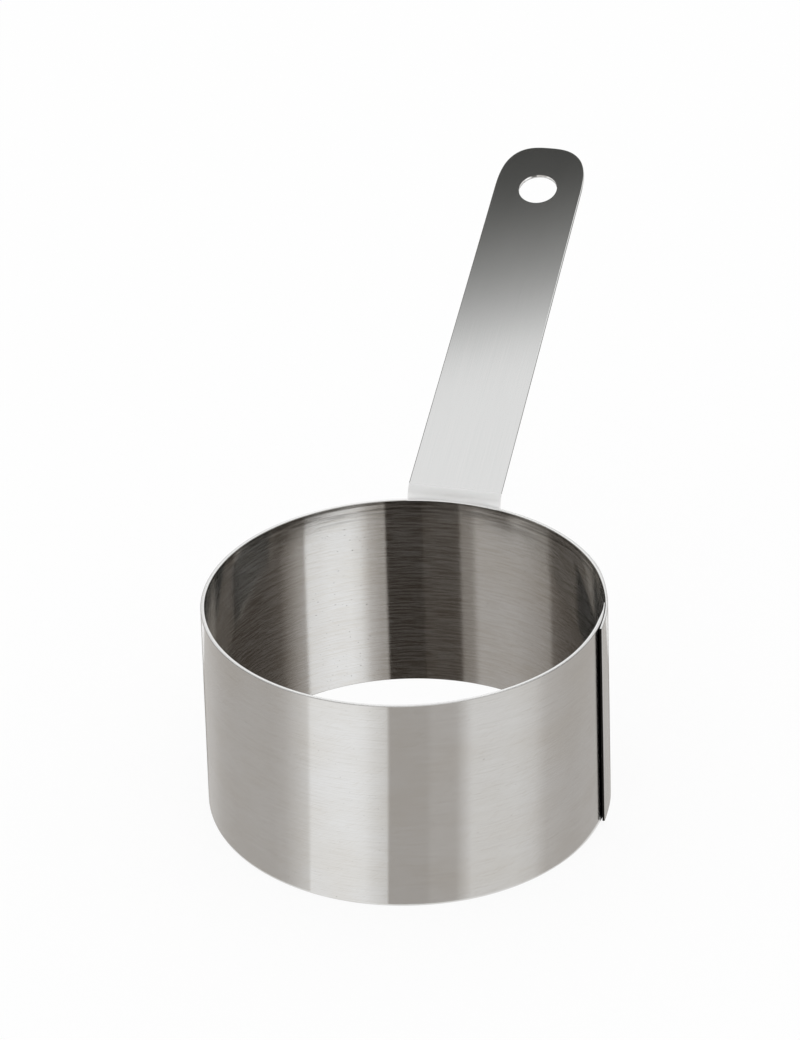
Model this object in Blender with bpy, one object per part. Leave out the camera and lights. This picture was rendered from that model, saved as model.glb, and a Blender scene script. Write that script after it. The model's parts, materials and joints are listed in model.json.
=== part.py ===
# Pastry ring with a strip handle.
#
# A band of sheet steel is rolled into a ring and its ends lap beside +X, where
# spot welds join them. A flat strip is spot-welded to the outside of the band at
# the back. It rises just over the rim, bends and leans away along +Y as the handle.
#
# Lengths are in metres and angles in radians. The shapes are worked out about the
# ring's own axis, and the whole part is then moved so that the origin lies on the
# table, at the middle of the footprint.

import math

import bmesh
import bpy
from mathutils import Matrix, Vector

MM = 0.001

# Band: the sheet, and the ring that it is rolled into
SHEET = 0.8 * MM
INNER_DIAMETER = 80.0 * MM      # at half height
HEIGHT = 45.0 * MM
FOOT_FLARE = 1.0 * MM           # how much further out the foot stands than the rim

# Lap: the outer end stops in a free edge, and the inner end runs on below it
FREE_EDGE_ANGLE = math.radians(-5.2)    # counted from +X towards the handle
LAP_LENGTH = 10.0 * MM
LAP_GAP = 0.3 * MM              # between the two layers
STRAIGHT_END = 4.0 * MM         # end of the outer layer that the rolls leave straight
INNER_SET = 0.45 * MM           # how far the inner end is pressed in from the circle
INNER_SET_RAMP = 18.0 * MM
OUTER_SET_RAMP = 11.0 * MM
SET_LEAD = 7.0 * MM             # from the lap to the start of either ramp

# Spot welds that join the two layers of the lap
NUGGET_DIAMETER = 3.0 * MM
NUGGET_COUNT = 3
NUGGET_END_MARGIN = 7.0 * MM    # from the rim or the foot to the nearest weld

# Handle: one strip with a leg against the band, a bend and a flat blade
STRIP_THICKNESS = 0.8 * MM
STRIP_WIDTH = 20.0 * MM
LEG_DEPTH = 25.0 * MM           # how far the leg reaches down from the rim
LEG_RISE = 1.0 * MM             # from the rim up to the start of the bend
LEG_CORNER_RADIUS = 3.0 * MM
LEG_CLEARANCE = 0.3 * MM        # between the leg and the band
BEND_RADIUS = 1.1 * MM          # on the inside of the bend
BLADE_RISE_ANGLE = math.radians(24.1)   # above the horizontal
BLADE_LENGTH = 99.5 * MM        # from the end of the bend to the tip
TIP_LENGTH = 13.8 * MM          # the last stretch, where the sides curve in
TIP_FULLNESS = 2.8              # 2 is an ellipse, and more is squarer

# Hang hole in the blade
HOLE_DIAMETER = 9.0 * MM
HOLE_FROM_TIP = 13.1 * MM

# Electrode marks on the back of the leg, two side by side in each row
MARK_ROWS = 2
MARK_DIAMETER = 4.5 * MM
MARK_DEPTH = 0.15 * MM
MARK_SPACING = 10.0 * MM        # across the leg
MARK_ROW_DROP = 5.0 * MM        # from the rim to the first row
MARK_ROW_PITCH = 14.0 * MM

# Edge that deburring leaves on the cut sheet
EDGE_BREAK = 0.12 * MM

# Facets
BAND_STEPS = 180
STRIP_COLUMNS = 14
BEND_STEPS = 8
LEG_STEPS = 4
CORNER_STEPS = 4
TIP_STEPS = 15
ROUND_SEGMENTS = 48
SMALL_SEGMENTS = 20

# Values that follow from the sizes above
MEAN_RADIUS = (INNER_DIAMETER + SHEET) / 2
OUTER_SET = SHEET + LAP_GAP - INNER_SET
LAP_ANGLE = LAP_LENGTH / MEAN_RADIUS
BAND_SWEEP = math.tau + LAP_ANGLE
WALL_SLOPE = math.atan(FOOT_FLARE / HEIGHT)
BEND_FACE_RADIUS = BEND_RADIUS + STRIP_THICKNESS
BEND_TURN = math.pi / 2 + WALL_SLOPE - BLADE_RISE_ANGLE
LEG_LENGTH = (LEG_DEPTH + LEG_RISE) / math.cos(WALL_SLOPE)
BEND_LENGTH = BEND_FACE_RADIUS * BEND_TURN
BLADE_START = LEG_LENGTH + BEND_LENGTH


def smooth_step(value):
    """Ease from 0 to 1 as value goes from 0 to 1."""
    value = min(max(value, 0.0), 1.0)
    return value * value * (3 - 2 * value)


def mean_radius(height):
    """Radius of the middle of the sheet on the round part of the band."""
    return MEAN_RADIUS + FOOT_FLARE * (0.5 - height / HEIGHT)


def wall_radius(height):
    """Radius of the band's outer face away from the lap."""
    return mean_radius(height) + SHEET / 2


# Band

def lap_set(turn):
    """Distance that the sheet is set out from the circle at a turn from the free edge."""
    run = turn * MEAN_RADIUS
    out = OUTER_SET * (1 - smooth_step((run - LAP_LENGTH - SET_LEAD) / OUTER_SET_RAMP))
    ramp_end = math.tau * MEAN_RADIUS - SET_LEAD
    into = INNER_SET * smooth_step((run - ramp_end + INNER_SET_RAMP) / INNER_SET_RAMP)
    return out - into


def band_centre(turn, height):
    """Middle of the sheet at a turn from the free edge."""
    radius = mean_radius(height) + lap_set(turn)
    straight = STRAIGHT_END / MEAN_RADIUS
    radius /= math.cos(max(straight - turn, 0.0))
    angle = FREE_EDGE_ANGLE + turn
    return Vector((radius * math.cos(angle), radius * math.sin(angle), height))


def band_point(turn, height, side):
    """Point on the outer (side 1) or inner (side -1) face of the band."""
    step = BAND_SWEEP / BAND_STEPS / 2
    along = band_centre(turn + step, height) - band_centre(turn - step, height)
    outward = Vector((along.y, -along.x, 0)).normalized()
    return band_centre(turn, height) + outward * side * SHEET / 2


def band_mesh():
    """Sweep the sheet's section once round and on through the lap."""
    section = ((0, 1), (HEIGHT, 1), (HEIGHT, -1), (0, -1))
    bm = bmesh.new()
    rings = []
    for index in range(BAND_STEPS + 1):
        turn = BAND_SWEEP * index / BAND_STEPS
        rings.append([bm.verts.new(band_point(turn, height, side)) for height, side in section])
    for ring, following in zip(rings, rings[1:]):
        for corner in range(len(section)):
            after = (corner + 1) % len(section)
            bm.faces.new((ring[corner], following[corner], following[after], ring[after]))
    bm.faces.new(rings[0])
    bm.faces.new(reversed(rings[-1]))
    bmesh.ops.recalc_face_normals(bm, faces=bm.faces)
    return finish_mesh(bm, "ring_band")


def lap_nuggets():
    """Weld nuggets, as one guide mesh that reaches into both layers of the lap."""
    bm = bmesh.new()
    turn = LAP_ANGLE / 2
    pitch = (HEIGHT - 2 * NUGGET_END_MARGIN) / max(NUGGET_COUNT - 1, 1)
    for index in range(NUGGET_COUNT):
        height = NUGGET_END_MARGIN + pitch * index
        middle = (band_centre(turn, height) + band_centre(turn + math.tau, height)) / 2
        outward = Vector((middle.x, middle.y, 0)).normalized()
        add_cylinder(bm, middle, outward, NUGGET_DIAMETER / 2, SHEET + LAP_GAP, SMALL_SEGMENTS)
    return guide("lap_nuggets", finish_mesh(bm, "lap_nuggets"))


def make_band():
    band = solid("ring_band", band_mesh(), band_steel())
    break_edges(band)
    combine(band, lap_nuggets(), "UNION")
    return band


# Handle

def strip_spine(run):
    """Point, and direction above the horizontal, of the strip's upper face."""
    foot = HEIGHT - LEG_DEPTH
    leg_angle = math.pi / 2 + WALL_SLOPE
    start = Vector((0, wall_radius(foot) + LEG_CLEARANCE, foot))
    if run <= LEG_LENGTH:
        return start + run * direction(leg_angle), leg_angle
    bend_start = start + LEG_LENGTH * direction(leg_angle)
    centre = bend_start + BEND_FACE_RADIUS * direction(leg_angle - math.pi / 2)
    if run <= BLADE_START:
        angle = leg_angle - (run - LEG_LENGTH) / BEND_FACE_RADIUS
        return centre + BEND_FACE_RADIUS * direction(angle + math.pi / 2), angle
    bend_end = centre + BEND_FACE_RADIUS * direction(BLADE_RISE_ANGLE + math.pi / 2)
    return bend_end + (run - BLADE_START) * direction(BLADE_RISE_ANGLE), BLADE_RISE_ANGLE


def direction(angle):
    """Unit vector in the handle's upright plane."""
    return Vector((0, math.cos(angle), math.sin(angle)))


def strip_point(run, across):
    """Point on the strip's upper face: saddled on the leg, and flat on the blade."""
    point, angle = strip_spine(run)
    upper = direction(angle + math.pi / 2)
    flattened = smooth_step((run - LEG_LENGTH) / BEND_LENGTH)
    saddle = (1 - flattened) / (wall_radius(point.z) + LEG_CLEARANCE)
    if saddle < 1e-6:
        return point + Vector((across, 0, 0))
    turn = across * saddle
    return point + Vector((math.sin(turn), 0, 0)) / saddle + upper * (1 - math.cos(turn)) / saddle


def leg_rows():
    """Run and half width of each row from the leg's end to the end of the bend."""
    half = STRIP_WIDTH / 2
    rows = []
    for index in range(CORNER_STEPS):
        angle = math.pi / 2 * index / CORNER_STEPS
        run = LEG_CORNER_RADIUS * (1 - math.cos(angle))
        rows.append((run, half - LEG_CORNER_RADIUS * (1 - math.sin(angle))))
    for index in range(LEG_STEPS):
        share = index / LEG_STEPS
        rows.append((LEG_CORNER_RADIUS + (LEG_LENGTH - LEG_CORNER_RADIUS) * share, half))
    for index in range(BEND_STEPS + 1):
        rows.append((LEG_LENGTH + BEND_LENGTH * index / BEND_STEPS, half))
    return rows


def tip_outline():
    """Run and offset across of the points that close the blade, from one side to the other."""
    power = 2 / TIP_FULLNESS
    shoulder = BLADE_START + BLADE_LENGTH - TIP_LENGTH
    side = []
    for index in range(TIP_STEPS):
        angle = math.pi / 2 * index / TIP_STEPS
        run = shoulder + TIP_LENGTH * math.sin(angle) ** power
        side.append((run, STRIP_WIDTH / 2 * math.cos(angle) ** power))
    tip = [(BLADE_START + BLADE_LENGTH, 0)]
    return side + tip + [(run, -across) for run, across in reversed(side)]


def strip_mesh():
    """Upper face of the strip: a grid over the leg and bend, and one face for the blade."""
    bm = bmesh.new()
    grid = []
    for run, half in leg_rows():
        columns = [half * (2 * column / STRIP_COLUMNS - 1) for column in range(STRIP_COLUMNS + 1)]
        grid.append([bm.verts.new(strip_point(run, across)) for across in columns])
    for row, following in zip(grid, grid[1:]):
        for column in range(STRIP_COLUMNS):
            after = column + 1
            bm.faces.new((row[column], row[after], following[after], following[column]))
    blade = [bm.verts.new(strip_point(run, across)) for run, across in tip_outline()]
    bm.faces.new(grid[-1] + blade)
    return finish_mesh(bm, "handle")


def hang_hole():
    """Punch for the hang hole, square to the blade."""
    bm = bmesh.new()
    centre, angle = strip_spine(BLADE_START + BLADE_LENGTH - HOLE_FROM_TIP)
    normal = direction(angle + math.pi / 2)
    add_cylinder(bm, centre, normal, HOLE_DIAMETER / 2, 6 * STRIP_THICKNESS, ROUND_SEGMENTS)
    return guide("hang_hole", finish_mesh(bm, "hang_hole"))


def weld_marks():
    """Shallow round marks that the welding electrode leaves on the leg's back."""
    bm = bmesh.new()
    for row in range(MARK_ROWS):
        run = LEG_DEPTH - MARK_ROW_DROP - MARK_ROW_PITCH * row
        point, angle = strip_spine(run)
        radius = wall_radius(point.z) + LEG_CLEARANCE
        for side in (-1, 1):
            turn = side * MARK_SPACING / 2 / radius
            outward = Vector((math.sin(turn), math.cos(turn), 0))
            back = outward * (radius + STRIP_THICKNESS - MARK_DEPTH) + Vector((0, 0, point.z))
            middle = back + outward * STRIP_THICKNESS / 2
            add_cylinder(bm, middle, outward, MARK_DIAMETER / 2, STRIP_THICKNESS, SMALL_SEGMENTS)
    return guide("weld_marks", finish_mesh(bm, "weld_marks"))


def make_handle():
    handle = solid("handle", strip_mesh(), handle_steel())
    thickness = handle.modifiers.new("sheet", "SOLIDIFY")
    thickness.thickness = STRIP_THICKNESS
    thickness.offset = -1
    thickness.use_even_offset = True
    thickness.use_quality_normals = True
    combine(handle, hang_hole(), "DIFFERENCE")
    break_edges(handle)
    combine(handle, weld_marks(), "DIFFERENCE")
    return handle


# Shared steps

def finish_mesh(bm, name):
    """Store the bmesh with smooth shading between its sharp edges."""
    mesh = bpy.data.meshes.new(name)
    bm.to_mesh(mesh)
    bm.free()
    mesh.shade_smooth()
    mesh.set_sharp_from_angle(angle=math.radians(30))
    return mesh


def add_cylinder(bm, middle, axis, radius, length, segments):
    """Closed cylinder about a middle point, along an axis."""
    place = Matrix.Translation(middle) @ axis.to_track_quat("Z", "Y").to_matrix().to_4x4()
    bmesh.ops.create_cone(bm, cap_ends=True, segments=segments, radius1=radius,
                          radius2=radius, depth=length, matrix=place)


def link(name, mesh):
    """Object that holds the mesh, in the scene's collection."""
    item = bpy.data.objects.new(name, mesh)
    bpy.context.scene.collection.objects.link(item)
    return item


def solid(name, mesh, material):
    """Object for one sub-part, with its material."""
    mesh.materials.append(material)
    return link(name, mesh)


def guide(name, mesh):
    """Object that only shapes another one, and isn't part of the model."""
    item = link(name, mesh)
    item.hide_render = True
    item.display_type = "WIRE"
    return item


def combine(item, tool, operation):
    """Add a boolean modifier that unites the item with the tool, or cuts it."""
    boolean = item.modifiers.new(tool.name, "BOOLEAN")
    boolean.operation = operation
    boolean.solver = "EXACT"
    boolean.object = tool


def break_edges(item):
    """Chamfer every sharp edge of the sheet."""
    bevel = item.modifiers.new("edge_break", "BEVEL")
    bevel.width = EDGE_BREAK
    bevel.segments = 1
    bevel.limit_method = "ANGLE"
    bevel.angle_limit = math.radians(40)


def steel(name, colour, roughness):
    """Bare steel with its colour and roughness."""
    material = bpy.data.materials.new(name)
    material.use_nodes = True
    shader = material.node_tree.nodes["Principled BSDF"]
    shader.inputs["Base Color"].default_value = (*colour, 1)
    shader.inputs["Metallic"].default_value = 1
    shader.inputs["Roughness"].default_value = roughness
    return material


def band_steel():
    return steel("brushed_band_steel", (0.60, 0.58, 0.56), 0.30)


def handle_steel():
    return steel("satin_handle_steel", (0.62, 0.62, 0.61), 0.25)


def centre_footprint(parts):
    """Hang everything on the ring's axis, and move that axis off the middle of the footprint."""
    bpy.context.view_layer.update()
    graph = bpy.context.evaluated_depsgraph_get()
    corners = [Vector(corner) for part in parts for corner in part.evaluated_get(graph).bound_box]
    middle = [(min(c[i] for c in corners) + max(c[i] for c in corners)) / 2 for i in range(2)]
    axis = link("ring_axis", None)
    for item in bpy.context.scene.collection.objects:
        if item != axis:
            item.parent = axis
    axis.location = (-middle[0], -middle[1], 0)


def main():
    for item in list(bpy.data.objects):
        bpy.data.objects.remove(item, do_unlink=True)
    centre_footprint([make_band(), make_handle()])


main()
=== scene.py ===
# %% [markdown]
# # A pastry ring of brushed steel
#
# A pastry ring is one of the plainest tools in a kitchen: a strip of stainless sheet is
# rolled into a ring and spot-welded where its ends lap, and a second strip is welded to
# its back, bent over the rim and led away as a handle. This lesson dresses the measured
# CAD model of such a ring. The two solids are made again with finer curves, rounded
# edges and weld marks, then get brushed steel, a camera, and a white room with dark gauze
# for the steel to mirror.
#
# All lengths are in metres in the frame of the CAD model: Z is up along the ring, +Y
# runs out along the handle, and the table is at Z = 0.

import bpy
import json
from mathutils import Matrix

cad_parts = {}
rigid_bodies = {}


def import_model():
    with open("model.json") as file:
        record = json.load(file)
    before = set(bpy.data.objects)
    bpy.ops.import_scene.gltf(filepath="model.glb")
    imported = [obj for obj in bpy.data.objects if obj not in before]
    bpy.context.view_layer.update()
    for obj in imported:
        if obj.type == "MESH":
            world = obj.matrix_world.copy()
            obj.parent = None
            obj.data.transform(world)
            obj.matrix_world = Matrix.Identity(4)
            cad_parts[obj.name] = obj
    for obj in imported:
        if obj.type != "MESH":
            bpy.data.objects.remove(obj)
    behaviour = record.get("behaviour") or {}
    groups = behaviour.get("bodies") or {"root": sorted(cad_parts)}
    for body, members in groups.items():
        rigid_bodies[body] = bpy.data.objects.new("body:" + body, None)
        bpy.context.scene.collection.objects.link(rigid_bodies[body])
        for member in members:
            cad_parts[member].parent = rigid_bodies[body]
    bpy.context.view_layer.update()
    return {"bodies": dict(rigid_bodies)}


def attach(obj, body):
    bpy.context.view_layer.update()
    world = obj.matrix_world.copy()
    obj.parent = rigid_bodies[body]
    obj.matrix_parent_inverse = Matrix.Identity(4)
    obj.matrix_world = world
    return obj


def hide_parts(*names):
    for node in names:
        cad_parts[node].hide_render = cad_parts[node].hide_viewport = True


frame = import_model()

# %% Tools of the lesson
import json
import math

import bmesh
import bpy
from mathutils import Matrix, Vector

MM = 0.001

# %% [markdown]
# ## Nodes from Python
#
# Two kinds of node tree are built below: Geometry Nodes, which shape the band, and shader
# nodes, which finish the steel. Both hold long chains of maths. Written node by node, such a
# chain is hard to read, so a small class wraps a socket and lets Python's own operators add
# the Math nodes. Every other node comes from `add`, which takes the node's type, then its
# settings, then the values or links of its sockets.

# %% A socket that can be calculated with
class Wire:
    """An output socket. An operator on it adds the Math node that works it out."""

    def __init__(self, socket):
        self.socket = socket

    @property
    def tree(self):
        return self.socket.id_data

    def maths(self, operation, *values):
        """A Math node on these values, or on the wire itself where none is given."""
        inputs = dict(enumerate(values or (self,)))
        return add(self.tree, "ShaderNodeMath", {"operation": operation}, inputs)["Value"]

    def __add__(self, other): return self.maths("ADD", self, other)
    def __radd__(self, other): return self.maths("ADD", other, self)
    def __sub__(self, other): return self.maths("SUBTRACT", self, other)
    def __rsub__(self, other): return self.maths("SUBTRACT", other, self)
    def __mul__(self, other): return self.maths("MULTIPLY", self, other)
    def __rmul__(self, other): return self.maths("MULTIPLY", other, self)
    def __truediv__(self, other): return self.maths("DIVIDE", self, other)
    def __pow__(self, other): return self.maths("POWER", self, other)
    def __abs__(self): return self.maths("ABSOLUTE")
    def __gt__(self, other): return self.maths("GREATER_THAN", self, other)

    def at_least(self, other):
        """The greater of the wire's value and another."""
        return self.maths("MAXIMUM", self, other)

    def ease(self, low, high, start=0.0, end=1.0):
        """Run smoothly from start to end while the wire's value goes from low to high."""
        ends = {"From Min": low, "From Max": high, "To Min": start, "To Max": end}
        return add(self.tree, "ShaderNodeMapRange", {"interpolation_type": "SMOOTHSTEP"},
                   {"Value": self, **ends})["Result"]


def pick(sockets, key):
    """The socket in use that has this place, identifier or name."""
    used = [socket for socket in sockets if socket.enabled]
    if isinstance(key, int):
        return used[key]
    return next(socket for socket in used if key in (socket.identifier, socket.name))


class Outputs:
    """The outputs of one node, by name or place, as wires."""

    def __init__(self, node):
        self.node = node

    def __getitem__(self, key):
        return Wire(pick(self.node.outputs, key))


def add(tree, kind, settings=None, sockets=None):
    """Add one node: settings first, then the values or links of its sockets."""
    node = tree.nodes.new(kind)
    for name, value in (settings or {}).items():
        setattr(node, name, value)
    for key, value in (sockets or {}).items():
        socket = pick(node.inputs, key)
        if isinstance(value, Wire):
            tree.links.new(value.socket, socket)
        else:
            socket.default_value = value
    return Outputs(node)


def vector(tree, x=0.0, y=0.0, z=0.0):
    """Vector with these parts, each a number or a wire."""
    return add(tree, "ShaderNodeCombineXYZ", None, {"X": x, "Y": y, "Z": z})["Vector"]


def parts_of(wire):
    """The three parts of a vector."""
    split = add(wire.tree, "ShaderNodeSeparateXYZ", None, {"Vector": wire})
    return split["X"], split["Y"], split["Z"]


print("node tools ready")

# %% [markdown]
# ## Measures of the sheet and the strip
#
# These are the measures of the CAD model. The band is 0.8 mm sheet, 80 mm across inside and
# 45 mm high, and its foot stands 1 mm further out than its rim, as a ring does after years of
# being pressed down on a board. The handle is a 20 mm strip of the same thickness.
#
# A few measures differ from the CAD, because here they are drawn as on the real ring. The CAD
# keeps 0.3 mm between surfaces that touch, so that nothing overlaps in a simulation. Here the
# layers of the lap and the leg lie only 0.1 mm off, the step at the lap is longer and gentler,
# both ends of the sheet are thinned, and the cut edges are filed a little rounder.

# %% Measures
SHEET = 0.8 * MM
INNER_DIAMETER = 80.0 * MM
HEIGHT = 45.0 * MM
FOOT_FLARE = 1.0 * MM
FREE_EDGE_ANGLE = math.radians(-5.2)
LAP_LENGTH = 10.0 * MM
LAP_GAP = 0.1 * MM              # between the two layers
STRAIGHT_END = 4.0 * MM         # end of the outer layer that the rolls leave straight
INNER_SET = 0.25 * MM           # how far the inner end is pressed in from the circle
INNER_SET_RAMP = 18.0 * MM
OUTER_SET_RAMP = 20.0 * MM      # run in which the outer layer comes down to the circle
INNER_END = 0.22 * MM           # thickness that grinding leaves at the inner end
OUTER_END = 0.5 * MM            # thickness that hammering leaves at the free end
FILED_EDGE = 0.14 * MM
STRIP_WIDTH = 20.0 * MM
LEG_DEPTH = 25.0 * MM
LEG_RISE = 1.0 * MM
LEG_CORNER_RADIUS = 3.0 * MM
LEG_CLEARANCE = 0.1 * MM
BEND_RADIUS = 1.1 * MM
BLADE_RISE_ANGLE = math.radians(24.1)
BLADE_LENGTH = 99.5 * MM
TIP_LENGTH = 13.8 * MM
TIP_FULLNESS = 2.8
HOLE_DIAMETER = 9.0 * MM
HOLE_FROM_TIP = 13.1 * MM
AXIS_PLACE = Vector((-0.338046, -45.754980, 0)) * MM

MEAN_RADIUS = (INNER_DIAMETER + SHEET) / 2
ONCE_ROUND = math.tau * MEAN_RADIUS
SHEET_LENGTH = ONCE_ROUND + LAP_LENGTH
LEG_PLACE = MEAN_RADIUS * (math.pi / 2 - FREE_EDGE_ANGLE)
WALL_SLOPE = math.atan(FOOT_FLARE / HEIGHT)
print("sheet cut to", round(SHEET_LENGTH / MM, 1), "by", round(HEIGHT / MM, 1), "mm")

# %% [markdown]
# ## The band: a strip that follows a path
#
# The real band starts as a flat strip that is fed through three rolls. The rolls leave the
# first few millimetres straight, and before welding the one end is pressed in and the other
# lifted out by about half a sheet, so that the two can lie on each other.
#
# That is a rule, so Geometry Nodes can follow it: a line of points is laid out along the
# strip, each point's distance along the sheet gives its turn and its radius, and the sheet's
# cross-section is swept along the result. Moving the points of a torus or cylinder by hand
# would never give the clean step at the lap. The distance along the sheet and the side of the
# sheet are stored on the mesh as they are made, because the brush lines, the near-black at the
# seam, the painted highlight and shade on the edges, and the wear are all placed by them later.
#
# The free edge has a filed corner of its own, which needs points that lie closer together than
# anywhere else. So the first rows are a few hundredths of a millimetre apart, and the others
# share what is left of the sheet evenly.

# %% The path of the sheet
START_ROWS = 12
START_STEP = 0.03 * MM


def group_input(tree, name, kind, value):
    """Add a named input to a Geometry Nodes tree."""
    socket = tree.interface.new_socket(name, in_out="INPUT", socket_type=kind)
    if kind != "NodeSocketMaterial":
        socket.default_value = value
    return socket


def new_shape_tree(name, inputs):
    """Geometry Nodes tree with named inputs, and its input wires."""
    tree = bpy.data.node_groups.new(name, "GeometryNodeTree")
    tree.interface.new_socket("Geometry", in_out="OUTPUT", socket_type="NodeSocketGeometry")
    for label, (kind, value) in inputs.items():
        group_input(tree, label, kind, value)
    return tree, add(tree, "NodeGroupInput")


def middle_radius(size):
    """Radius of the middle of the sheet at half height."""
    return (size["Inner Diameter"] + size["Sheet"]) / 2


def lap_lift(size):
    """How far the free end stands out from the circle."""
    return size["Sheet"] + size["Lap Gap"] - size["Inner Set"]


def sheet_path(tree, size):
    """Curve along the middle of the sheet at half height, from the free edge to the inner end."""
    line = add(tree, "GeometryNodeCurvePrimitiveLine", None, {"End": (1.0, 0.0, 0.0)})["Curve"]
    points = add(tree, "GeometryNodeResampleCurve", {"mode": "COUNT"},
                 {"Curve": line, "Count": size["Steps"] + 1})["Curve"]
    index = add(tree, "GeometryNodeInputIndex")["Index"]
    mean = middle_radius(size)
    round_once = mean * math.tau
    start = START_ROWS * START_STEP
    share = (index - START_ROWS) / (size["Steps"] - START_ROWS)
    run = (start + share * (round_once + size["Lap Length"] - start)).at_least(index * START_STEP)
    turn = run / mean
    lift = lap_lift(size)
    lifted = lift * run.ease(0.0, size["Outer Ramp"], 1.0, 0.0)
    pressed = (size["Inner Set"] * run.ease(round_once - size["Inner Ramp"], round_once)
               + lift * run.ease(round_once, round_once + size["Outer Ramp"]))
    unrolled = (size["Straight End"] / mean - turn).at_least(0.0)
    radius = (mean + lifted - pressed) / unrolled.maths("COSINE")
    angle = turn + size["Free Edge Angle"]
    place = vector(tree, radius * angle.maths("COSINE"), radius * angle.maths("SINE"), 0.0)
    bent = add(tree, "GeometryNodeSetPosition", None, {"Geometry": points, "Position": place})["Geometry"]
    upright = add(tree, "GeometryNodeSetCurveNormal", {"mode": "Z_UP"}, {"Curve": bent})["Curve"]
    return add(tree, "GeometryNodeStoreNamedAttribute", {"data_type": "FLOAT", "domain": "POINT"},
               {"Geometry": upright, "Name": "run", "Value": run})["Geometry"]


def named_number(tree, name):
    """Number stored on the geometry under this name."""
    return add(tree, "GeometryNodeInputNamedAttribute", {"data_type": "FLOAT"}, {"Name": name})["Attribute"]


print("path rule written")

# %% [markdown]
# The cut edges of the sheet are broken with a file, so the swept section is a thin upright
# rectangle with rounded corners. The inner end is ground thin from the inside, so that food
# doesn't catch on it. The free end is hammered thinner from the outside, and its upright edge
# is filed round. The corners are shaded smooth, but the line where a corner meets a wall is
# shaded sharp, which keeps the long walls free of any false roundness near the rim.

# %% Sweep, flare and shade
CORNER_POINTS = 7
GRIND_LEAD = 2 * MM
HAMMERED = (12 * MM, 26 * MM)
CRISP_FOLD = math.radians(60)
SAME_LINE = 0.001 * MM


def swept_band(tree, size):
    """Sweep the section along the path, then let the foot stand further out than the rim."""
    frame_curve = add(tree, "GeometryNodeCurvePrimitiveQuadrilateral", {"mode": "RECTANGLE"},
                      {"Width": size["Sheet"], "Height": size["Height"]})["Curve"]
    section = add(tree, "GeometryNodeFilletCurve", {"mode": "POLY"},
                  {"Curve": frame_curve, "Count": CORNER_POINTS, "Radius": size["Edge Break"]})["Curve"]
    across, _, _ = parts_of(add(tree, "GeometryNodeInputPosition")["Position"])
    marked = add(tree, "GeometryNodeStoreNamedAttribute", {"data_type": "FLOAT", "domain": "POINT"},
                 {"Geometry": section, "Name": "side", "Value": across / size["Sheet"] * 2})["Geometry"]
    sweep = add(tree, "GeometryNodeCurveToMesh", None,
                {"Curve": sheet_path(tree, size), "Profile Curve": marked, "Fill Caps": True})["Mesh"]
    x, y, z = parts_of(add(tree, "GeometryNodeInputPosition")["Position"])
    from_axis = (x * x + y * y) ** 0.5
    run, side = (named_number(tree, name) for name in ("run", "side"))
    round_once = middle_radius(size) * math.tau
    ground = run.ease(round_once + GRIND_LEAD, round_once + size["Lap Length"])
    from_inside = ground * (1 - side) / 2 * (size["Sheet"] - size["Inner End"])
    short = (size["Edge Break"] - run).at_least(0.0)
    rounded = size["Edge Break"] - (size["Edge Break"] ** 2 - short ** 2) ** 0.5
    hammered = (size["Sheet"] - size["Outer End"]) * run.ease(*HAMMERED, 1.0, 0.0)
    from_outside = (rounded + hammered) * (1 + side) / 2
    flare = size["Foot Flare"] * (z / size["Height"])
    spread = 1 + (from_inside - from_outside - flare) / from_axis
    place = vector(tree, x * spread, y * spread, z + size["Height"] / 2)
    flared = add(tree, "GeometryNodeSetPosition", None, {"Geometry": sweep, "Position": place})["Geometry"]
    fold = add(tree, "GeometryNodeInputMeshEdgeAngle")["Unsigned Angle"]
    from_wall = abs(abs(z - size["Height"] / 2) - (size["Height"] / 2 - size["Edge Break"]))
    crisp = (fold > CRISP_FOLD) + (1 - (from_wall > SAME_LINE))
    soft = add(tree, "GeometryNodeSetShadeSmooth", {"domain": "FACE"}, {"Geometry": flared})["Geometry"]
    return add(tree, "GeometryNodeSetShadeSmooth", {"domain": "EDGE"},
               {"Geometry": soft, "Selection": crisp > 0.5, "Shade Smooth": False})["Geometry"]


print("sweep rule written")

# %% [markdown]
# Three weld nuggets join the layers of the lap. On the real ring they are small discs of
# melted steel between the sheets, one above the other. They are the same thing three times,
# so one disc is made and instanced on a short column of points.

# %% Weld nuggets in the lap
NUGGET_SIDES = 32


def lap_welds(tree, size):
    """Discs of melted steel, one above the other between the two layers."""
    mean = middle_radius(size)
    angle = size["Free Edge Angle"] + size["Lap Length"] / mean / 2
    lift = lap_lift(size)
    sunk = size["Inner Set"] + lift * (size["Lap Length"] / 2).ease(0.0, size["Outer Ramp"])
    reach = size["Height"] - size["Weld Margin"] * 2
    index = add(tree, "GeometryNodeInputIndex")["Index"]
    level = size["Weld Margin"] + index * (reach / (size["Weld Count"] - 1))
    flare = size["Foot Flare"] * (level / size["Height"] - 0.5)
    through = size["Sheet"] + size["Lap Gap"]
    middle = mean + through / 2 - sunk - flare
    place = vector(tree, middle * angle.maths("COSINE"), middle * angle.maths("SINE"), level)
    column = add(tree, "GeometryNodePoints", None,
                 {"Count": size["Weld Count"], "Position": place})["Points"]
    disc = add(tree, "GeometryNodeMeshCylinder", {"fill_type": "NGON"},
               {"Vertices": NUGGET_SIDES, "Radius": size["Weld Diameter"] / 2, "Depth": through})["Mesh"]
    lie = vector(tree, 0.0, math.pi / 2, angle)
    spots = add(tree, "GeometryNodeInstanceOnPoints", None,
                {"Points": column, "Instance": disc, "Rotation": lie})["Instances"]
    return add(tree, "GeometryNodeRealizeInstances", None, {"Geometry": spots})["Geometry"]


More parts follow.
